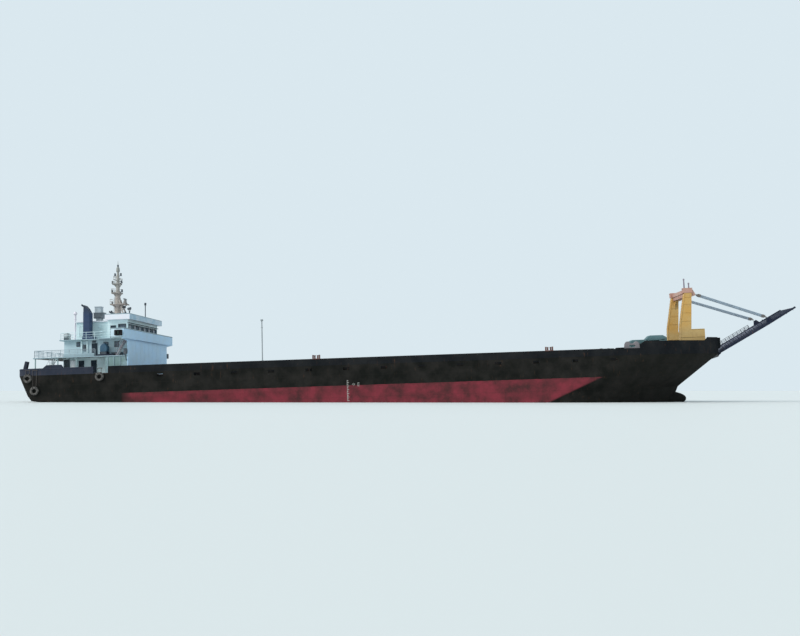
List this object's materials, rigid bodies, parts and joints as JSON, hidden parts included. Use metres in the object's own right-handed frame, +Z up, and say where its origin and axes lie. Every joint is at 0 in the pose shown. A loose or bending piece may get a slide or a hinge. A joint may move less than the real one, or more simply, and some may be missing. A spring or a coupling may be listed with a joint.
{
  "type": "river barge, self-propelled, with a bow ramp, 1:10 scale model",
  "caption": "Flat-bottomed river deck barge with an open cargo well, raised bow ramp on a gantry, stern deckhouse, mast and funnels.",
  "frame": {"origin": "on the flat bottom, amidships, on the centreline", "axes": "+X forward to the bow, +Y to port, +Z up"},
  "size_m": [11.055, 2.06, 2.48],
  "materials": {
    "hull_paint": "worn black topsides over a red band, with rust and scuffs",
    "deck_paint": "worn brown-red deck paint",
    "slate_paint": "slate blue, semi-matt",
    "white_paint": "weathered white with rust streaks",
    "glass": "dark window glass",
    "door_paint": "dark blue-grey",
    "funnel_paint": "navy blue, satin",
    "mast_paint": "beige, weathered",
    "yellow_paint": "dull yellow, rust marks",
    "head_paint": "faded red",
    "ramp_paint": "dark navy, scuffed",
    "steel": "grey, weathered",
    "teal_paint": "dark teal",
    "tank_plastic": "blue moulded plastic, satin",
    "rubber": "worn tyre rubber",
    "bronze": "dull bronze",
    "red_paint": "matt red bottom paint"
  },
  "bodies": {
    "vessel": {"hull": "hull_paint", "cargo_deck": "deck_paint", "quarterdeck": "deck_paint", "foredeck": "deck_paint", "side_wall_port": "hull_paint", "side_wall_stbd": "hull_paint", "bow_wall_port": "hull_paint", "bow_wall_stbd": "hull_paint", "stern_bulwark": "slate_paint", "fender_quarter_upper_port": "rubber", "fender_quarter_upper_stbd": "rubber", "fender_quarter_lower_port": "rubber", "fender_quarter_lower_stbd": "rubber", "fender_side_port": "rubber", "fender_side_stbd": "rubber", "front_screen": "white_paint", "tier1_house": "white_paint", "tier2_house": "white_paint", "tier3_casing": "white_paint", "wheelhouse": "white_paint", "wheelhouse_glass": "glass", "deck1": "white_paint", "deck2": "white_paint", "deck1_railing": "white_paint", "deck2_railing": "white_paint", "roof": "white_paint", "mast": "mast_paint", "roof_ventilator": "steel", "funnel_port": "funnel_paint", "funnel_stbd": "funnel_paint", "tank_stand": "slate_paint", "water_tank": "tank_plastic", "gantry_leg_port": "yellow_paint", "gantry_leg_stbd": "yellow_paint", "gantry_head": "head_paint", "ramp_winch_port": "teal_paint", "ramp_winch_stbd": "teal_paint", "ramp_hinge": "steel", "hoist_tackle_port": "steel", "hoist_tackle_stbd": "steel", "light_pole": "steel"},
    "bow_ramp": {"ramp": "ramp_paint"},
    "propeller_stbd": {"propeller_stbd": "bronze"},
    "propeller_port": {"propeller_port": "bronze"},
    "rudder_stbd": {"rudder_stbd": "red_paint"},
    "rudder_port": {"rudder_port": "red_paint"},
    "scanner": {"radar_scanner": "white_paint"},
    "door_tier1_aft_stbd": {"door_tier1_aft_stbd": "door_paint"},
    "door_tier1_aft_port": {"door_tier1_aft_port": "door_paint"},
    "door_tier1_fore_stbd": {"door_tier1_fore_stbd": "door_paint"},
    "door_tier1_fore_port": {"door_tier1_fore_port": "door_paint"},
    "door_tier2_stbd": {"door_tier2_stbd": "door_paint"},
    "door_tier2_port": {"door_tier2_port": "door_paint"},
    "door_wheelhouse_stbd": {"door_wheelhouse_stbd": "door_paint"},
    "door_wheelhouse_port": {"door_wheelhouse_port": "door_paint"}
  },
  "joints": [
    {"name": "ramp_hinge", "type": "hinge", "parent": "vessel", "child": "bow_ramp", "pos_m": [4.895, 0, 0.715], "axis": [0, -1, 0], "range_deg": [-52, 42], "deforming": ["hoist_tackle_port", "hoist_tackle_stbd"]},
    {"name": "propeller_stbd_spin", "type": "hinge", "parent": "vessel", "child": "propeller_stbd", "pos_m": [-4.222, -0.45, 0.15], "axis": [1, 0, 0], "continuous": true},
    {"name": "propeller_port_spin", "type": "hinge", "parent": "vessel", "child": "propeller_port", "pos_m": [-4.222, 0.45, 0.15], "axis": [1, 0, 0], "continuous": true},
    {"name": "rudder_stbd_turn", "type": "hinge", "parent": "vessel", "child": "rudder_stbd", "pos_m": [-4.375, -0.45, 0.3], "axis": [0, 0, 1], "range_deg": [-35, 35]},
    {"name": "rudder_port_turn", "type": "hinge", "parent": "vessel", "child": "rudder_port", "pos_m": [-4.375, 0.45, 0.3], "axis": [0, 0, 1], "range_deg": [-35, 35]},
    {"name": "radar_spin", "type": "hinge", "parent": "vessel", "child": "scanner", "pos_m": [-3.807, 0, 1.875], "axis": [0, 0, 1], "continuous": true},
    {"name": "door_tier1_aft_stbd_hinge", "type": "hinge", "parent": "vessel", "child": "door_tier1_aft_stbd", "pos_m": [-4.1385, -0.6663, 0.7633], "axis": [0, 0, 1], "range_deg": [0, 110]},
    {"name": "door_tier1_aft_port_hinge", "type": "hinge", "parent": "vessel", "child": "door_tier1_aft_port", "pos_m": [-4.1385, 0.6663, 0.7633], "axis": [0, 0, -1], "range_deg": [0, 110]},
    {"name": "door_tier1_fore_stbd_hinge", "type": "hinge", "parent": "vessel", "child": "door_tier1_fore_stbd", "pos_m": [-3.9585, -0.6663, 0.7633], "axis": [0, 0, 1], "range_deg": [0, 110]},
    {"name": "door_tier1_fore_port_hinge", "type": "hinge", "parent": "vessel", "child": "door_tier1_fore_port", "pos_m": [-3.9585, 0.6663, 0.7633], "axis": [0, 0, -1], "range_deg": [0, 110]},
    {"name": "door_tier2_stbd_hinge", "type": "hinge", "parent": "vessel", "child": "door_tier2_stbd", "pos_m": [-3.9585, -0.6463, 1.007], "axis": [0, 0, 1], "range_deg": [0, 110]},
    {"name": "door_tier2_port_hinge", "type": "hinge", "parent": "vessel", "child": "door_tier2_port", "pos_m": [-3.9585, 0.6463, 1.007], "axis": [0, 0, -1], "range_deg": [0, 110]},
    {"name": "door_wheelhouse_stbd_hinge", "type": "hinge", "parent": "vessel", "child": "door_wheelhouse_stbd", "pos_m": [-3.7035, -0.6063, 1.257], "axis": [0, 0, 1], "range_deg": [0, 110]},
    {"name": "door_wheelhouse_port_hinge", "type": "hinge", "parent": "vessel", "child": "door_wheelhouse_port", "pos_m": [-3.7035, 0.6063, 1.257], "axis": [0, 0, -1], "range_deg": [0, 110]}
  ],
  "couplings": [
    {"joint": "rudder_port_turn", "follows": "rudder_stbd_turn", "ratio": 1}
  ]
}
